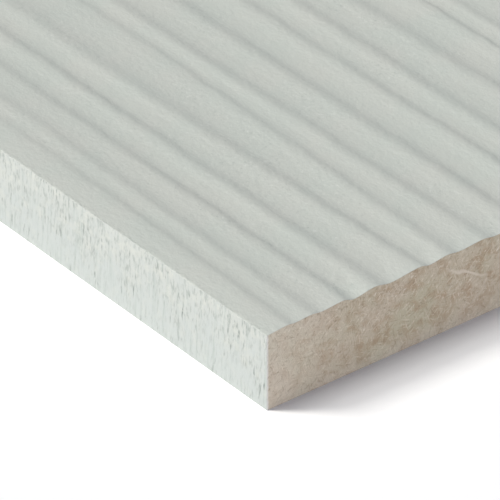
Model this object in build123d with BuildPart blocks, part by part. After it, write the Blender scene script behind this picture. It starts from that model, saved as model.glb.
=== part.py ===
"""Fibre cement cladding plank, rippled wood-grain face, painted, with sawn ends.

Millimetres, +Z up.  The plank lies on its flat back: length along X, width
along Y, origin in the middle of the back face.
"""

import math
import os

from build123d import *

# overall size of one board as it is sold
length = 3600.0
width = 180.0
thickness = 8.0  # over the ridge crests

# embossed ridges that run along the board
ridge_height = 0.35
first_ridge = 2.5  # first crest, in from the long edge at -Y
lead_step = 5.0  # from that crest to the last one that the edge cut away
ridge_steps = (2.6, 3.65, 3.6, 4.95, 3.2, 4.0, 4.2, 4.9, 3.1, 5.4, 4.3)
steep_share = 0.36  # part of a step that the steep flank takes
crest_reach = 0.25  # handle of the flank curve at the crest, as a share of its run
valley_reach = 0.55  # the same at the valley
crease_lift = 0.08  # how far the handles lie off level, as a share of the height

# slow sideways swing of the grain, widest at mid-width, none at the long edges
grain_swing = 14.0
grain_wave = 1440.0
sections_per_wave = 6

# how far the embossing tool reaches past the blank
tool_overrun = 10.0
face_allowance = 1.0  # blank left over the crests for the tool to take off


def crest_lines():
    """Distances of the crests from the long edge at -Y, straight grain."""
    crests = [first_ridge - lead_step, first_ridge]
    count = len(ridge_steps)
    while crests[-1] < width:
        taken = len(crests) - 2
        stride = 1 + taken // count
        crests.append(crests[-1] + ridge_steps[(taken * stride) % count])
    return crests


def swing_at(crest, x):
    """Sideways shift of a crest line at the station x along the board."""
    across = min(max(crest / width, 0.0), 1.0)
    reach = grain_swing * math.sin(math.pi * across) ** 2
    return reach * math.sin(2 * math.pi * (x - length / 2) / grain_wave)


def flank(crest, valley):
    """S-curve from a crest down to a valley, nearly level at both ends."""
    top, bottom = thickness, thickness - ridge_height
    run = valley - crest
    lift = ridge_height * crease_lift
    return Edge.make_bezier(
        (crest, top),
        (crest + run * crest_reach, top - lift),
        (valley - run * valley_reach, bottom + lift),
        (valley, bottom),
    )


def ridge_section(x):
    """Closed outline of the waste over the ridges at the station x."""
    crests = [-width / 2 + c + swing_at(c, x) for c in crest_lines()]
    outline = []
    for near, far in zip(crests, crests[1:]):
        valley = near + (far - near) * steep_share
        outline.append(flank(near, valley))
        outline.append(flank(far, valley))
    roof = thickness + face_allowance + tool_overrun
    corners = [(crests[-1], thickness), (crests[-1], roof), (crests[0], roof), (crests[0], thickness)]
    for start, end in zip(corners, corners[1:]):
        outline.append(Edge.make_line(start, end))
    return outline


with BuildPart() as plank:
    # flat blank, its back on the ground
    with BuildSketch(Plane.XY):
        Rectangle(length, width)
    extrude(amount=thickness + face_allowance)

    # the waste over the rippled face, drawn at stations along the grain
    tool_length = length + 2 * tool_overrun
    bays = math.ceil(tool_length * sections_per_wave / grain_wave)
    for station in range(bays + 1):
        x = -tool_length / 2 + tool_length * station / bays
        with BuildSketch(Plane.YZ.offset(x)):
            with BuildLine():
                add(ridge_section(x))
            make_face()
    loft(mode=Mode.SUBTRACT)

plank.part.label = "plank"

os.makedirs("parts", exist_ok=True)
export_step(plank.part, "parts/plank.step")
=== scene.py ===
import math

import bpy
import numpy as np
from mathutils import Matrix, Vector


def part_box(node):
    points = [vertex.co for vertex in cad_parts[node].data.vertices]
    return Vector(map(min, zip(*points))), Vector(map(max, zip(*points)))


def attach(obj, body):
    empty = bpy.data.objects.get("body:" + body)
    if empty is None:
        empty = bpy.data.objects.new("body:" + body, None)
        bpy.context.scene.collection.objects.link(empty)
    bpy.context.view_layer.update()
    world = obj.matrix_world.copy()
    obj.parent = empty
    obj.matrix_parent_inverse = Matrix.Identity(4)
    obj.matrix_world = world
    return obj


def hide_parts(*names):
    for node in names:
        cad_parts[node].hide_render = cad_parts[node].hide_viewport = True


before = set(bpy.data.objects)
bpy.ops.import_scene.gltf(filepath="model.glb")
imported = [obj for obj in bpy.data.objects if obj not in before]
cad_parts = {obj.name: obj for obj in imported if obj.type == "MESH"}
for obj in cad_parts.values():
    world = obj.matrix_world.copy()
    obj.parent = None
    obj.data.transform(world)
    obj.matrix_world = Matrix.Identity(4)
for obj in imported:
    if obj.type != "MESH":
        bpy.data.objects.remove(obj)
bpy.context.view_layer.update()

MM = 0.001
TINY = 1e-6  # metres: places nearer to each other than this are one place

# the board as the frame gives it
LOW, HIGH = (Vector(corner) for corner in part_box("plank"))
LENGTH = HIGH.x - LOW.x
WIDTH = HIGH.y - LOW.y
THICKNESS = HIGH.z - LOW.z
HALF_WIDTH = WIDTH / 2 / MM  # in millimetres, as the patterns are

# embossed ridges: the same values as the solid has, in metres
RIDGE_HEIGHT = 0.35 * MM
FIRST_RIDGE = 2.5 * MM
LEAD_STEP = 5.0 * MM
RIDGE_STEPS = np.array((2.6, 3.65, 3.6, 4.95, 3.2, 4.0, 4.2, 4.9, 3.1, 5.4, 4.3)) * MM
STEEP_SHARE = 0.36
GRAIN_SWING = 14.0 * MM
GRAIN_WAVE = 1440.0 * MM

# each valley's depth as a share of the ridge height; the lead is the valley before the first ridge
LEAD_DEPTH = 0.7
RIDGE_DEPTHS = np.array((0.38, 0.45, 0.92, 0.98, 0.79, 0.63, 0.79, 1.08, 0.8, 0.83, 1.15, 0.66, 0.5))

# the crest lines sway, each by its own reach, and are a little ragged; all lie slightly nearer the
# -Y edge than the solid's, and neighbours keep the least step
RIDGE_SWAYS = np.array((-0.45, 0.0, 0.4, 0.2, 1.4, -0.85, 0.55, 0.2, 0.1, -0.5, 0.5)) * MM
SWAY_WAVE = 200.0 * MM
RAGGED = ((1.4 * MM, 0.13 * MM, 140), (5.0 * MM, 0.06 * MM, 500))  # wave, reach, random key
CREST_EASE = 0.15 * MM
LEAST_STEP = 1.7 * MM

# the ridges fade and come back along the board, by these shares of their height
FADE_WAVE = 170.0 * MM
CREST_FADE = 0.15
WAVE_SPREAD = 0.3  # how much the waves of single ridges differ in length
MEAN_DEPTH = 0.87
SLOW_FADE = 0.08
SHORT_FADE = 0.12
FAINT_WAVE = 8.0 * MM
FAINT_KEY = 500
GOLDEN_TURN = 2.39996  # radians: this turn from ridge to ridge keeps their waves out of step

# handles of the flank curves at the crest and in the valley, as shares of the run
STEEP_HANDLES = (0.42, 0.46)
GENTLE_HANDLES = (0.28, 0.25)
CURVE_POINTS = 65

# softened arrises; those of the long edges are uneven, with mean and nicks as shares of the largest
EDGE_ARRIS = 0.17 * MM
END_ARRIS = 0.06 * MM
ARRIS_ROWS = 4
MEAN_ARRIS = 0.52
NICK_REACH = 0.24
NICK_WAVES = (1.2 * MM, 6.0 * MM)
NICK_KEY = 7

# mesh fineness along and across the board; it is fine near the photographed corner only
FINE_ZONE = 60.0 * MM
FINE_ROW = 0.6 * MM
COARSE_ROW = 30.0 * MM
ROW_GROWTH = 1.08
FINE_COLUMNS = 13
COARSE_COLUMNS = 5
COLUMN_MARGIN = 0.2 * MM

# the part of its normal that makes a face look one way, the part that makes it a flat sawn end, and
# the angle in degrees up to which faces are smoothed into each other
FACING = 0.5
SQUARE_ON = 0.99
SMOOTH_ANGLE = 35.0

# what the paint and the bare board are like all over
ACRYLIC_PAINT = {"IOR": 1.47, "Specular IOR Level": 0.2}
FIBRE_CEMENT = {"IOR": 1.5, "Roughness": 0.9}

# sizes of the patterns in millimetres, from one spot to the next; three sizes are along X, Y and Z
FILM_CLOUD = 5.0
FILM_PEEL = 0.6  # sprayed paint has a peel of about 0.2, too fine to show, so this is coarser
FILM_SPECK = 0.4  # specks of dust and pinholes are about 0.1, and are drawn as coarse as they show
FILM_STREAK = (1.5, 0.6, 0.6)
SPECK_BAND = (18, 5, 5)
EDGE_PATCH = 3.0
EDGE_BLOB = 1.1
BORDER_REACH = 18.0  # how far the border of the creamy upper part strays up and down
SAW_FURROW = (0.21, 0.21, 0.75)
SAW_PIT = (0.32, 0.32, 1.7)
PAINT_RUN = (0.4, 0.4, 6.0)
SAW_LEAN = math.radians(4)
END_CLOUD = 5.0
END_PATCH = 1.3
END_FLECK = (0.3, 0.28, 0.6)
FLECK_SLANT = math.radians(-40)
ZONE_REACH = 20.0  # the same for the zone where the flecks are thick
FIBRE = (1.0, 0.14, 0.8)  # cellulose fibres are about 0.03 thick, too fine to show, so these are thicker
FIBRE_BEND = 2.0
FIBRE_LAYERS = ((15, 0), (75, 30), (130, 60))  # angle in degrees, and a shift that sets them apart
BUNDLE_BEND = 1.6
BUNDLE_PLACE = (0.5, 23.0, 5.75)  # from the end, the long edge and the back
BUNDLE_REACH = (2.0, 3.4, 0.24)
BUNDLE_SLANT = math.radians(-27)
BACK_CLOUD = 14.0
FELT_WEAVE = 0.9

# sockets of a Mix node that is set to colours, by number because their names repeat
SHARE, UNDER, OVER, MIXED = 0, 6, 7, 2

# the photograph's view: where the near bottom corner falls in its 500 px frame, the focal length in
# the same pixels, and the angles in degrees
PHOTO_SIDE = 500.0
CORNER_PX = (266.74, 410.48)
FOCAL_PX = 8600.0
VIEW_AZIMUTH = 51.835
VIEW_ELEVATION = 33.09
VIEW_ROLL = -0.15
VIEW_DISTANCE = 750.0 * MM
SENSOR = 36.0
CLIP_START, CLIP_END = 0.01, 100.0

# the key is one tall strip of light, made of three soft suns: elevation, level and spread of each
KEY_AZIMUTH = -41.5
KEY_STRIP = (
    ("key_top", 75.0, 0.365, 22.0),
    ("key_middle", 57.0, 0.205, 14.0),
    ("key_low", 44.5, 0.525, 14.0),
)
KEY_COLOUR = (1.02, 1.0, 0.945)

# the fill comes in low from the viewer's side
FILL_AZIMUTH = 50.5
FILL_ELEVATION = 1.7
FILL_LEVEL = 0.63
FILL_SPREAD = 3.0
FILL_COLOUR = (1, 1, 1)

# floor and sky
FLOOR_SIZE = 60.0
FLOOR_SHADE = (0.7, 0.7, 0.7, 1)
FLOOR_LIFT = 0.02
SKY_COLOUR = (0.7, 0.93, 1.8, 1.0)
SKY_LEVEL = 0.07
WHITE = (1, 1, 1, 1)


# The board's mesh


def wander(places, wave, key):
    """Smooth random curve between -1 and 1 along the places, one swing in each wave."""
    steps = (places - LOW.x) / wave
    knots = np.random.default_rng(key).uniform(-1, 1, int(steps.max()) + 2)
    before = np.floor(steps).astype(int)
    share = steps - before
    share = share * share * (3 - 2 * share)
    return knots[before] * (1 - share) + knots[before + 1] * share


def crest_lines():
    """Crest distances from the long edge at -Y for straight grain, sways and valley depths."""
    crests = [FIRST_RIDGE - LEAD_STEP, FIRST_RIDGE]
    sways = [0.0, RIDGE_SWAYS[0]]
    depths = [LEAD_DEPTH]
    count = len(RIDGE_STEPS)
    while crests[-1] < WIDTH:
        taken = len(crests) - 2
        chosen = (taken * (1 + taken // count)) % count
        crests.append(crests[-1] + RIDGE_STEPS[chosen])
        sways.append(RIDGE_SWAYS[(chosen + 1) % count])
        depths.append(RIDGE_DEPTHS[taken % len(RIDGE_DEPTHS)])
    return np.array(crests), np.array(sways), np.array(depths)


def arris_steps(radius):
    """Distances from the corner of the grid lines that round an arris of the radius."""
    return [radius * (1 - math.cos(math.pi / 2 * i / ARRIS_ROWS)) for i in range(ARRIS_ROWS + 1)]


def row_places():
    """Places of the rows along X: fine by the photographed end, coarse further off."""
    arris = arris_steps(END_ARRIS)
    rows = list(arris)
    step = FINE_ROW
    while rows[-1] < LENGTH - COARSE_ROW:
        rows.append(rows[-1] + step)
        if rows[-1] > FINE_ZONE:
            step = min(step * ROW_GROWTH, COARSE_ROW)
    far_end = [LENGTH - distance for distance in reversed(arris)]
    return HIGH.x - np.array(rows + far_end)[::-1]


def crest_map(xs):
    """Y of every crest at every row, neighbours kept apart."""
    base, sway, _ = crest_lines()
    from_end = (xs - HIGH.x)[:, None]
    swing = GRAIN_SWING * np.sin(np.pi * np.clip(base / WIDTH, 0, 1)) ** 2
    lines = LOW.y + base + swing * np.sin(2 * np.pi * from_end / GRAIN_WAVE)
    inside = (base > 0) & (base < WIDTH - LEAST_STEP)
    lines += inside * (sway * np.sin(2 * np.pi * from_end / SWAY_WAVE) - CREST_EASE)
    for k in np.flatnonzero(inside):
        for wave, reach, key in RAGGED:
            lines[:, k] += reach * wander(xs, wave, key + int(k))
    for k in range(1, lines.shape[1]):
        lines[:, k] = np.maximum(lines[:, k], lines[:, k - 1] + LEAST_STEP)
    return lines


def column_places(lines):
    """Y of every grid column at every row: columns run with the ridges."""
    arris = arris_steps(EDGE_ARRIS)
    margin = arris[-1] + COLUMN_MARGIN
    stops = [np.full(len(lines), LOW.y + distance) for distance in arris]
    counts = [1] * ARRIS_ROWS
    for line in lines.T:
        if line.min() > LOW.y + margin and line.max() < HIGH.y - margin:
            stops.append(line)
            counts.append(FINE_COLUMNS if line[0] - LOW.y < FINE_ZONE else COARSE_COLUMNS)
    counts.append(COARSE_COLUMNS)
    stops += [np.full(len(lines), HIGH.y - distance) for distance in reversed(arris)]
    counts += [1] * ARRIS_ROWS
    marks = np.concatenate(([0], np.cumsum(counts)))
    columns = np.arange(marks[-1] + 1)
    return np.array([np.interp(columns, marks, row) for row in np.array(stops).T])


def flank_fall(share, handles):
    """How far a flank has fallen, 0 at the crest and 1 in the valley, by share of its run."""
    crest, valley = handles
    s = np.linspace(0, 1, CURVE_POINTS)
    run = 3 * (1 - s) ** 2 * s * crest + 3 * (1 - s) * s ** 2 * (1 - valley) + s ** 3
    fall = 3 * (1 - s) * s ** 2 + s ** 3
    return np.interp(share, run, fall)


def ridge_sinks(x, depths, faint):
    """How far the crests and the valleys lie below the top of the board in the row at x."""
    ridge = np.arange(len(depths) + 1)
    phase = 2 * np.pi * (HIGH.x - x) / FADE_WAVE
    own_phase = phase * (1 + WAVE_SPREAD * np.sin(ridge * GOLDEN_TURN))
    crest_sink = CREST_FADE * RIDGE_HEIGHT * (1 - np.cos(own_phase))
    slow = SLOW_FADE * np.cos(phase + ridge[:-1] * GOLDEN_TURN)
    valley_sink = RIDGE_HEIGHT * depths * (MEAN_DEPTH + slow + SHORT_FADE * faint)
    # a valley lies no higher than the crests on both sides of it
    valley_sink = np.maximum(valley_sink, np.maximum(crest_sink[:-1], crest_sink[1:]))
    return crest_sink, valley_sink


def row_heights(places, crests, crest_sink, valley_sink):
    """Z of the places in one row, between its crests."""
    k = np.clip(np.searchsorted(crests, places, side="right") - 1, 0, len(crests) - 2)
    share = np.clip((places - crests[k]) / (crests[k + 1] - crests[k]), 0, 1)
    steep = share < STEEP_SHARE
    top = np.where(steep, crest_sink[k], crest_sink[k + 1])
    fall = np.where(
        steep,
        flank_fall(share / STEEP_SHARE, STEEP_HANDLES),
        flank_fall((1 - share) / (1 - STEEP_SHARE), GENTLE_HANDLES),
    )
    return HIGH.z - top - (valley_sink[k] - top) * fall


def soften_arrises(heights, xs, ys):
    """Lowers the heights at the rim of the face, to round arrises."""
    nicks = [NICK_REACH * wander(xs, wave, NICK_KEY) for wave in NICK_WAVES]
    uneven = EDGE_ARRIS * (MEAN_ARRIS + sum(nicks))[:, None]
    to_edge = np.minimum(ys - LOW.y, HIGH.y - ys)
    to_end = np.minimum(xs - LOW.x, HIGH.x - xs)[:, None]
    for distance, radius in ((to_edge, uneven), (to_end, END_ARRIS)):
        inward = np.clip(radius - distance, 0, radius)
        heights -= radius - np.sqrt(radius ** 2 - inward ** 2)


def face_heights(xs, ys, lines):
    """Z of every grid point: ridges with their own strength, and softened arrises."""
    depths = crest_lines()[2]
    faint = np.array([wander(xs, FAINT_WAVE, FAINT_KEY + k) for k in range(len(depths))])
    heights = np.empty_like(ys)
    for i, x in enumerate(xs):
        crest_sink, valley_sink = ridge_sinks(x, depths, faint[:, i])
        heights[i] = row_heights(ys[i], lines[i], crest_sink, valley_sink)
    soften_arrises(heights, xs, ys)
    return heights


def embossed_board():
    """The whole board: a grid that follows the grain, given its walls, back and ends."""
    xs = row_places()
    lines = crest_map(xs)
    ys = column_places(lines)
    heights = face_heights(xs, ys, lines)
    rows, columns = ys.shape[0] - 1, ys.shape[1] - 1

    bpy.ops.object.select_all(action="DESELECT")
    bpy.ops.mesh.primitive_grid_add(x_subdivisions=rows, y_subdivisions=columns, size=1)
    board = bpy.context.object
    board.name = "embossed_board"
    mesh = board.data
    flat = np.empty(len(mesh.vertices) * 3)
    mesh.vertices.foreach_get("co", flat)
    flat = flat.reshape(-1, 3)
    i = np.rint((flat[:, 0] + 0.5) * rows).astype(int)
    j = np.rint((flat[:, 1] + 0.5) * columns).astype(int)
    places = np.column_stack((xs[i], ys[i, j], heights[i, j]))
    mesh.vertices.foreach_set("co", places.ravel())
    mesh.update()

    close_board(board)
    return board


def pick_open_edges(board, wanted):
    """In edit mode, selects the open edges whose two ends wanted() accepts."""
    bpy.ops.mesh.select_mode(type="EDGE")
    bpy.ops.mesh.select_all(action="DESELECT")
    bpy.ops.mesh.select_non_manifold()
    bpy.ops.object.mode_set(mode="OBJECT")
    mesh = board.data
    ends = [v.co for v in mesh.vertices]
    for edge in mesh.edges:
        if edge.select:
            edge.select = all(wanted(ends[v]) for v in edge.vertices)
    bpy.ops.object.mode_set(mode="EDIT")


def close_board(board):
    """Walls down both long edges, the flat back between them, and both sawn ends."""

    def on_long_edge(place):
        return min(place.y - LOW.y, HIGH.y - place.y) < TINY

    def on_back(place):
        return on_long_edge(place) and place.z - LOW.z < TINY

    bpy.ops.object.mode_set(mode="EDIT")
    pick_open_edges(board, on_long_edge)
    bpy.ops.mesh.extrude_edges_move(TRANSFORM_OT_translate={"value": (0, 0, -THICKNESS)})
    bpy.ops.transform.resize(value=(1, 1, 0), center_override=(0, 0, LOW.z))
    pick_open_edges(board, on_back)
    bpy.ops.mesh.bridge_edge_loops()
    for end in (LOW.x, HIGH.x):
        pick_open_edges(board, lambda place: abs(place.x - end) < TINY)
        bpy.ops.mesh.edge_face_add()
    bpy.ops.mesh.select_all(action="SELECT")
    bpy.ops.mesh.normals_make_consistent(inside=False)
    bpy.ops.object.mode_set(mode="OBJECT")


# Finishes: a Map Range turns the part of a noise between two of its levels into a share


def srgb(code):
    """Linear colour of an sRGB hex code."""
    parts = [int(code[i:i + 2], 16) / 255 for i in (1, 3, 5)]
    linear = [c / 12.92 if c <= 0.04045 else ((c + 0.055) / 1.055) ** 2.4 for c in parts]
    return (*linear, 1.0)


def add(tree, kind, inputs=(), **settings):
    """A new node with its settings; inputs take values, sockets, or nodes for their first output."""
    node = tree.nodes.new(kind)
    for name, value in settings.items():
        setattr(node, name, value)
    for socket, value in dict(inputs).items():
        if isinstance(value, bpy.types.Node):
            value = value.outputs[0]
        if isinstance(value, bpy.types.NodeSocket):
            tree.links.new(value, node.inputs[socket])
        else:
            node.inputs[socket].default_value = value
    return node


def fresh_material(name, **surface):
    """A node material of one Principled shader, which holds the surface's even values."""
    material = bpy.data.materials.new(name)
    material.use_nodes = True
    tree = material.node_tree
    tree.nodes.clear()
    shader = add(tree, "ShaderNodeBsdfPrincipled", surface)
    add(tree, "ShaderNodeOutputMaterial", {"Surface": shader})
    return material, tree, shader


def join_finish(tree, shader, colour, height, depth):
    """Gives the shader its colour, and relief from a height that is worth the depth in metres."""
    relief = add(tree, "ShaderNodeBump", {"Height": height, "Distance": depth, "Strength": 1.0})
    tree.links.new(colour, shader.inputs["Base Color"])
    tree.links.new(relief.outputs[0], shader.inputs["Normal"])


def millimetres(tree, location=(0, 0, 0), rotation=(0, 0, 0), stretch=(1, 1, 1)):
    """Object coordinates in millimetres, moved, turned and stretched for one pattern."""
    place = add(tree, "ShaderNodeTexCoord").outputs["Object"]
    return add(tree, "ShaderNodeMapping", {
        "Vector": place,
        "Location": [part * MM for part in location],
        "Rotation": rotation,
        "Scale": [part * MM for part in stretch],
    }, vector_type="TEXTURE").outputs[0]


def painted_face():
    """Factory acrylic paint, sprayed on the embossed face.

    It gives a flat sage film with a faint peel and the weak sheen of matt paint. Dark and pale
    specks lie in bands along the grain. Dark spots on the arris are painted shade, which breaks up
    the bright line that the rounded arris catches.
    """
    material, tree, shader = fresh_material("acrylic_paint_embossed", Roughness=0.6, **ACRYLIC_PAINT)
    mm = millimetres(tree)
    along = millimetres(tree, stretch=FILM_STREAK)
    bands = millimetres(tree, location=(25, 0, 0), stretch=SPECK_BAND)
    cloud = add(tree, "ShaderNodeTexNoise", {"Vector": mm, "Scale": 1 / FILM_CLOUD, "Detail": 3.0})
    streak = add(tree, "ShaderNodeTexNoise", {"Vector": along, "Scale": 1.0, "Detail": 2.0})
    peel = add(tree, "ShaderNodeTexNoise", {
        "Vector": mm, "Scale": 1 / FILM_PEEL, "Detail": 4.0, "Roughness": 0.6})
    speck = add(tree, "ShaderNodeTexNoise", {"Vector": mm, "Scale": 1 / FILM_SPECK, "Detail": 3.0})
    band = add(tree, "ShaderNodeTexNoise", {"Vector": bands, "Scale": 1.0, "Detail": 2.0})

    # the film, hardly clouded
    tone = add(tree, "ShaderNodeMapRange", {"Value": cloud, "From Min": 0.36, "From Max": 0.64})
    colour = add(tree, "ShaderNodeMix", {SHARE: tone, UNDER: srgb("#BEC3BC"), OVER: srgb("#C1C4BD")},
                 data_type="RGBA").outputs[MIXED]

    # dark specks, then pale ones, each from the level where they start to where they are full
    where = add(tree, "ShaderNodeMapRange", {
        "Value": band, "From Min": 0.48, "From Max": 0.66, "To Min": 0.04, "To Max": 0.45})
    for start, full, code in ((0.41, 0.28, "#A7ADA7"), (0.60, 0.72, "#D2D5CF")):
        spot = add(tree, "ShaderNodeMapRange", {"Value": speck, "From Min": start, "From Max": full})
        spots = add(tree, "ShaderNodeMath", {0: spot, 1: where}, operation="MULTIPLY")
        colour = add(tree, "ShaderNodeMix", {SHARE: spots, UNDER: colour, OVER: srgb(code)},
                     data_type="RGBA").outputs[MIXED]

    # painted shade in spots along the arris, which breaks up the bright line that its rounding catches
    place = add(tree, "ShaderNodeSeparateXYZ", {"Vector": mm})
    aside = add(tree, "ShaderNodeMath", {0: place.outputs["Y"]}, operation="ABSOLUTE")
    verge = add(tree, "ShaderNodeMapRange", {
        "Value": aside, "From Min": HALF_WIDTH - 0.2, "From Max": HALF_WIDTH - 0.04, "To Max": 0.7})
    arris_shade_noise = add(tree, "ShaderNodeMapRange", {"Value": peel, "From Min": 0.53, "From Max": 0.43})
    arris_shade_spots = add(tree, "ShaderNodeMath", {0: arris_shade_noise, 1: verge}, operation="MULTIPLY")
    colour = add(tree, "ShaderNodeMix", {SHARE: arris_shade_spots, UNDER: colour, OVER: srgb("#ABB1AB")},
                 data_type="RGBA").outputs[MIXED]

    # streaks and peel in relief, rougher towards the arris
    uneven = add(tree, "ShaderNodeMath", {0: streak, 1: 0.5, 2: peel}, operation="MULTIPLY_ADD")
    depth = add(tree, "ShaderNodeMapRange", {
        "Value": aside, "From Min": HALF_WIDTH - 0.5, "From Max": HALF_WIDTH,
        "To Min": 0.062 * MM, "To Max": 0.2 * MM})
    join_finish(tree, shader, colour, uneven, depth)
    return material


def painted_edge():
    """The same acrylic paint on the long edge, which was sawn and not pressed.

    It gives upright saw furrows under the film, long runs and groups of dark pits; the furrows and
    pits are darkened with painted shade together with dirt. In the upper part the furrows are dense
    and the paint stands in creamy blobs.
    """
    material, tree, shader = fresh_material("acrylic_paint_sawn_edge", Roughness=0.65, **ACRYLIC_PAINT)
    mm = millimetres(tree)
    furrow, pit, run = (
        add(tree, "ShaderNodeTexNoise", {
            "Vector": millimetres(tree, location=(offset, 0, 0), rotation=(0, SAW_LEAN, 0), stretch=size),
            "Scale": 1.0,
            "Detail": 2.0,
        })
        for offset, size in ((0, SAW_FURROW), (40, SAW_PIT), (80, PAINT_RUN))
    )
    patch, blob = (
        add(tree, "ShaderNodeTexNoise", {
            "Vector": mm, "Scale": 1 / size, "Detail": 4.0, "Roughness": 0.6})
        for size in (EDGE_PATCH, EDGE_BLOB)
    )

    # the film is creamier in the upper part, with an uneven border; both its colours are a little
    # lighter than the face's film of the same paint, which is painted light for the brighter light on the
    # edge
    place = add(tree, "ShaderNodeSeparateXYZ", {"Vector": mm})
    border = add(tree, "ShaderNodeMath", {0: patch, 1: BORDER_REACH, 2: place.outputs["Z"]},
                 operation="MULTIPLY_ADD")
    upper = add(tree, "ShaderNodeMapRange", {"Value": border, "From Min": 11.0, "From Max": 17.0})
    film = add(tree, "ShaderNodeMix", {SHARE: upper, UNDER: srgb("#C2C7C3"), OVER: srgb("#C5C8C2")},
               data_type="RGBA")

    # shares of the runs, furrows, pits and blobs; the furrows and pits are darkened with painted shade
    # together with dirt
    runs = add(tree, "ShaderNodeMapRange", {
        "Value": run, "From Min": 0.48, "From Max": 0.30, "To Max": 0.6})
    much = add(tree, "ShaderNodeMapRange", {"Value": upper, "To Min": 0.3, "To Max": 1.0})
    line = add(tree, "ShaderNodeMapRange", {"Value": furrow, "From Min": 0.50, "From Max": 0.32})
    lines = add(tree, "ShaderNodeMath", {0: line, 1: much}, operation="MULTIPLY")
    group = add(tree, "ShaderNodeMapRange", {
        "Value": patch, "From Min": 0.44, "From Max": 0.58, "To Min": 0.05})
    pit_shade_and_dirt = add(tree, "ShaderNodeMapRange", {"Value": pit, "From Min": 0.40, "From Max": 0.28})
    pits = add(tree, "ShaderNodeMath", {0: pit_shade_and_dirt, 1: group}, operation="MULTIPLY")
    thick = add(tree, "ShaderNodeMapRange", {
        "Value": blob, "From Min": 0.52, "From Max": 0.62, "To Max": 0.7})
    blobs = add(tree, "ShaderNodeMath", {0: thick, 1: much}, operation="MULTIPLY")

    # the furrow and pit colours are painted shade together with dirt
    colour = film.outputs[MIXED]
    for share, code in ((runs, "#B0B8B2"), (lines, "#A6ACA6"), (pits, "#858C87"), (blobs, "#CCCEC6")):
        colour = add(tree, "ShaderNodeMix", {SHARE: share, UNDER: colour, OVER: srgb(code)},
                     data_type="RGBA").outputs[MIXED]
    uneven = add(tree, "ShaderNodeMath", {0: blob, 1: upper, 2: furrow}, operation="MULTIPLY_ADD")
    join_finish(tree, shader, colour, uneven, 0.065 * MM)
    return material


def bent(tree, mm, size):
    """The place in millimetres, pushed about so that what is drawn there bends."""
    bend = add(tree, "ShaderNodeTexNoise", {"Vector": mm, "Scale": 1 / size, "Detail": 1.0})
    return add(tree, "ShaderNodeVectorMath", {0: mm, 1: bend.outputs["Color"]}, operation="ADD")


def fibre_noise(tree, angle, shift):
    """Noise drawn out into short, slightly bent hairs that lie at the angle in the sawn face."""
    mm = millimetres(tree, location=(shift, 0, 0))
    turned = add(tree, "ShaderNodeMapping", {
        "Vector": bent(tree, mm, FIBRE_BEND),
        "Rotation": (math.radians(angle), 0, 0),
        "Scale": FIBRE,
    }, vector_type="TEXTURE")
    return add(tree, "ShaderNodeTexNoise", {"Vector": turned, "Scale": 1.0, "Detail": 1.0})


def fibre_bundle(tree, mm):
    """Share of the one long pale bundle of fibres that lies bare in the photographed end."""
    from_end, from_edge, height = BUNDLE_PLACE
    local = add(tree, "ShaderNodeMapping", {
        "Vector": bent(tree, mm, BUNDLE_BEND),
        "Location": (HIGH.x / MM + from_end, LOW.y / MM + from_edge, height),
        "Rotation": (BUNDLE_SLANT, 0, 0),
        "Scale": BUNDLE_REACH,
    }, vector_type="TEXTURE")
    ball = add(tree, "ShaderNodeTexGradient", {"Vector": local}, gradient_type="SPHERICAL")
    return add(tree, "ShaderNodeMapRange", {
        "Value": ball.outputs["Fac"], "From Min": 0.05, "From Max": 0.6, "To Max": 0.55})


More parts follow.
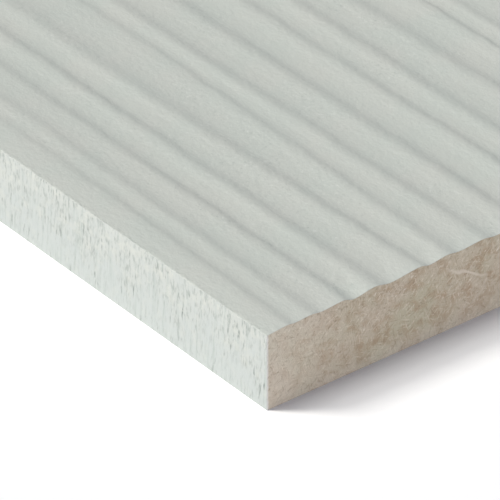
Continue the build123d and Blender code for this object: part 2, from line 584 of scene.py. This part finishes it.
def sawn_end():
    """Fibre cement, bare where it was sawn: cement and fine sand, bound with cellulose fibres.

    It gives a matt beige matrix with brown patches, paler by the long edges, and paler at the
    bottom as painted light against the shade where the end meets the floor. It has holes and grit
    that are thick in the upper part, pale and dark hairs in three directions, one long pale
    bundle, and a worn pale rim of paint.
    """
    material, tree, shader = fresh_material("fibre_cement_sawn", **FIBRE_CEMENT)
    mm = millimetres(tree)
    slant = millimetres(tree, rotation=(FLECK_SLANT, 0, 0), stretch=END_FLECK)
    cloud = add(tree, "ShaderNodeTexNoise", {"Vector": mm, "Scale": 1 / END_CLOUD, "Detail": 2.0})
    patch = add(tree, "ShaderNodeTexNoise", {
        "Vector": mm, "Scale": 1 / END_PATCH, "Detail": 4.0, "Roughness": 0.6})
    fleck = add(tree, "ShaderNodeTexNoise", {"Vector": slant, "Scale": 1.0, "Detail": 2.0})
    place = add(tree, "ShaderNodeSeparateXYZ", {"Vector": mm})
    aside = add(tree, "ShaderNodeMath", {0: place.outputs["Y"]}, operation="ABSOLUTE")
    height = place.outputs["Z"]

    # matrix, brown patches, paler by the long edges, and painted light that makes the bottom paler
    # against the shade where the end meets the floor
    tone = add(tree, "ShaderNodeMapRange", {"Value": cloud, "From Min": 0.38, "From Max": 0.62})
    matrix = add(tree, "ShaderNodeMix", {SHARE: tone, UNDER: srgb("#B5AD98"), OVER: srgb("#BAAD9B")},
                 data_type="RGBA")
    brown = add(tree, "ShaderNodeMapRange", {
        "Value": patch, "From Min": 0.55, "From Max": 0.35, "To Max": 0.6})
    mist = add(tree, "ShaderNodeMapRange", {
        "Value": aside, "From Min": HALF_WIDTH - 10, "From Max": HALF_WIDTH, "To Max": 0.55})
    # painted light: paler towards the bottom, against the shade where the end meets the floor
    bottom_light_lift = add(tree, "ShaderNodeMapRange", {
        "Value": height, "From Min": 2.0, "From Max": 0.2, "To Max": 0.3})
    edge_pallor_and_bottom_light = add(tree, "ShaderNodeMath", {0: mist, 1: bottom_light_lift}, operation="MAXIMUM")

    # holes and grit
    zone = add(tree, "ShaderNodeMath", {0: cloud, 1: ZONE_REACH, 2: height}, operation="MULTIPLY_ADD")
    where = add(tree, "ShaderNodeMapRange", {
        "Value": zone, "From Min": 12.5, "From Max": 17.0, "To Min": 0.1, "To Max": 0.75})
    hole = add(tree, "ShaderNodeMapRange", {
        "Value": fleck, "From Min": 0.40, "From Max": 0.30, "To Max": 0.75})
    holes = add(tree, "ShaderNodeMath", {0: hole, 1: where}, operation="MULTIPLY")
    grit = add(tree, "ShaderNodeMapRange", {"Value": fleck, "From Min": 0.62, "From Max": 0.72})
    grits = add(tree, "ShaderNodeMath", {0: grit, 1: where}, operation="MULTIPLY")
    layers = [(brown, "#9C8368"), (edge_pallor_and_bottom_light, "#D3C9BB"), (holes, "#857763"), (grits, "#D9D0C2")]

    # hairs, pale where they lie bare and dark where one has come out
    uneven = patch
    for angle, shift in FIBRE_LAYERS:
        hairs = fibre_noise(tree, angle, shift)
        pale = add(tree, "ShaderNodeMapRange", {
            "Value": hairs, "From Min": 0.63, "From Max": 0.74, "To Max": 0.45})
        dark = add(tree, "ShaderNodeMapRange", {
            "Value": hairs, "From Min": 0.37, "From Max": 0.26, "To Max": 0.35})
        layers += [(pale, "#D6CBBA"), (dark, "#84745F")]
        uneven = add(tree, "ShaderNodeMath", {0: hairs, 1: 0.4, 2: uneven}, operation="MULTIPLY_ADD")
    layers.append((fibre_bundle(tree, mm), "#DACFC1"))

    # worn rim of paint
    worn = add(tree, "ShaderNodeMath", {0: fleck, 1: 0.3, 2: aside}, operation="MULTIPLY_ADD")
    rim = add(tree, "ShaderNodeMapRange", {
        "Value": worn, "From Min": HALF_WIDTH - 0.1, "From Max": HALF_WIDTH + 0.1})
    layers.append((rim, "#DCDAD5"))

    colour = matrix.outputs[MIXED]
    for share, code in layers:
        colour = add(tree, "ShaderNodeMix", {SHARE: share, UNDER: colour, OVER: srgb(code)},
                     data_type="RGBA").outputs[MIXED]
    join_finish(tree, shader, colour, uneven, 0.06 * MM)
    return material


def bare_back():
    """Fibre cement, bare as it left the felt of the machine: clouded grey beige, close and matt."""
    material, tree, shader = fresh_material("fibre_cement_felt_side", **FIBRE_CEMENT)
    mm = millimetres(tree)
    cloud = add(tree, "ShaderNodeTexNoise", {"Vector": mm, "Scale": 1 / BACK_CLOUD, "Detail": 5.0})
    weave = add(tree, "ShaderNodeTexNoise", {"Vector": mm, "Scale": 1 / FELT_WEAVE, "Detail": 3.0})
    colour = add(tree, "ShaderNodeMix", {SHARE: cloud, UNDER: srgb("#ADA595"), OVER: srgb("#BDB6A7")},
                 data_type="RGBA")
    join_finish(tree, shader, colour.outputs[MIXED], weave, 0.1 * MM)
    return material


def finish_board(board):
    """Gives every face its finish by the way it looks, and smooths the embossed face.

    The sawn ends stay flat, because one large face that takes its shade from the rounded rim
    would change its tone all over.
    """
    for material in (painted_face(), painted_edge(), sawn_end(), bare_back()):
        board.data.materials.append(material)
    for polygon in board.data.polygons:
        normal = polygon.normal
        if normal.z > FACING:
            polygon.material_index = 0
        elif abs(normal.y) > FACING:
            polygon.material_index = 1
        elif abs(normal.x) > FACING:
            polygon.material_index = 2
        else:
            polygon.material_index = 3
    bpy.ops.object.select_all(action="DESELECT")
    board.select_set(True)
    bpy.context.view_layer.objects.active = board
    bpy.ops.object.shade_smooth_by_angle(angle=math.radians(SMOOTH_ANGLE))
    for polygon in board.data.polygons:
        if abs(polygon.normal.x) > SQUARE_ON:
            polygon.use_smooth = False


# Studio


def direction(azimuth, elevation):
    """Unit vector at the azimuth, from -Y towards +X, and the elevation, in degrees."""
    across, above = math.radians(azimuth), math.radians(elevation)
    return Vector((
        math.sin(across) * math.cos(above),
        -math.cos(across) * math.cos(above),
        math.sin(above),
    ))


def photo_camera():
    """The photograph's camera: a long lens on the near corner, from its right and above."""
    azimuth, roll = math.radians(VIEW_AZIMUTH), math.radians(VIEW_ROLL)
    back = direction(VIEW_AZIMUTH, VIEW_ELEVATION)
    level = Vector((math.cos(azimuth), math.sin(azimuth), 0))
    upright = back.cross(level)
    right = level * math.cos(roll) + upright * math.sin(roll)
    up = upright * math.cos(roll) - level * math.sin(roll)
    middle = PHOTO_SIDE / 2
    corner = Vector((HIGH.x, LOW.y, LOW.z))
    aside = (CORNER_PX[0] - middle) / FOCAL_PX * VIEW_DISTANCE
    above = (middle - CORNER_PX[1]) / FOCAL_PX * VIEW_DISTANCE
    place = corner - aside * right - above * up + VIEW_DISTANCE * back
    turn = Matrix((right, up, back)).transposed()

    camera = bpy.data.objects.new("photo_camera", bpy.data.cameras.new("photo_camera"))
    bpy.context.collection.objects.link(camera)
    camera.matrix_world = Matrix.Translation(place) @ turn.to_4x4()
    camera.data.sensor_width = SENSOR
    camera.data.lens = FOCAL_PX * SENSOR / PHOTO_SIDE
    camera.data.clip_start = CLIP_START
    camera.data.clip_end = CLIP_END
    bpy.context.scene.camera = camera


def soft_sun(name, azimuth, elevation, level, spread, colour):
    """A wide, even light from the azimuth and the elevation."""
    light = bpy.data.lights.new(name, "SUN")
    light.color = colour
    light.energy = level * math.pi
    light.angle = math.radians(spread)
    lamp = bpy.data.objects.new(name, light)
    bpy.context.collection.objects.link(lamp)
    lamp.rotation_euler = direction(azimuth, elevation).to_track_quat("Z", "Y").to_euler()


def plain_view(tree):
    """1 for the rays that show the surround white: from the camera, mirrored and through glass."""
    path = add(tree, "ShaderNodeLightPath").outputs
    mirrored = add(tree, "ShaderNodeMath", {0: path["Is Camera Ray"], 1: path["Is Glossy Ray"]},
                   operation="MAXIMUM")
    return add(tree, "ShaderNodeMath", {0: mirrored, 1: path["Is Transmission Ray"]},
               operation="MAXIMUM")


def studio_floor():
    """A floor that is pure white to look at and a little darker to the light it throws back."""
    bpy.ops.object.select_all(action="DESELECT")
    bpy.ops.mesh.primitive_plane_add(size=FLOOR_SIZE, location=(0, 0, LOW.z))
    floor = bpy.context.object
    floor.name = "studio_floor"
    material = bpy.data.materials.new("white_studio_floor")
    material.use_nodes = True
    tree = material.node_tree
    tree.nodes.clear()
    lit = add(tree, "ShaderNodeBsdfDiffuse", {"Color": FLOOR_SHADE})
    white = add(tree, "ShaderNodeBsdfDiffuse", {"Color": WHITE})
    lift = add(tree, "ShaderNodeEmission", {"Color": WHITE, "Strength": FLOOR_LIFT})
    bright = add(tree, "ShaderNodeAddShader", {0: white, 1: lift})
    both = add(tree, "ShaderNodeMixShader", {0: plain_view(tree), 1: lit, 2: bright})
    add(tree, "ShaderNodeOutputMaterial", {"Surface": both})
    floor.data.materials.append(material)


def studio_surround():
    """A world that is white to look at and a dim cool sky to the board."""
    world = bpy.data.worlds.new("studio_surround")
    bpy.context.scene.world = world
    world.use_nodes = True
    tree = world.node_tree
    tree.nodes.clear()
    sky = add(tree, "ShaderNodeBackground", {"Color": SKY_COLOUR, "Strength": SKY_LEVEL})
    white = add(tree, "ShaderNodeBackground", {"Color": WHITE, "Strength": 1.0})
    both = add(tree, "ShaderNodeMixShader", {0: plain_view(tree), 1: sky, 2: white})
    add(tree, "ShaderNodeOutputWorld", {"Surface": both})


def studio_lights():
    """The tall key from the left, and the low fill."""
    for name, elevation, level, spread in KEY_STRIP:
        soft_sun(name, KEY_AZIMUTH, elevation, level, spread, KEY_COLOUR)
    soft_sun("fill_light", FILL_AZIMUTH, FILL_ELEVATION, FILL_LEVEL, FILL_SPREAD, FILL_COLOUR)


photo_camera()
studio_floor()
studio_surround()
studio_lights()
board = embossed_board()
finish_board(board)
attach(board, "root")
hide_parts("plank")

bpy.context.scene.view_settings.view_transform = "Standard"
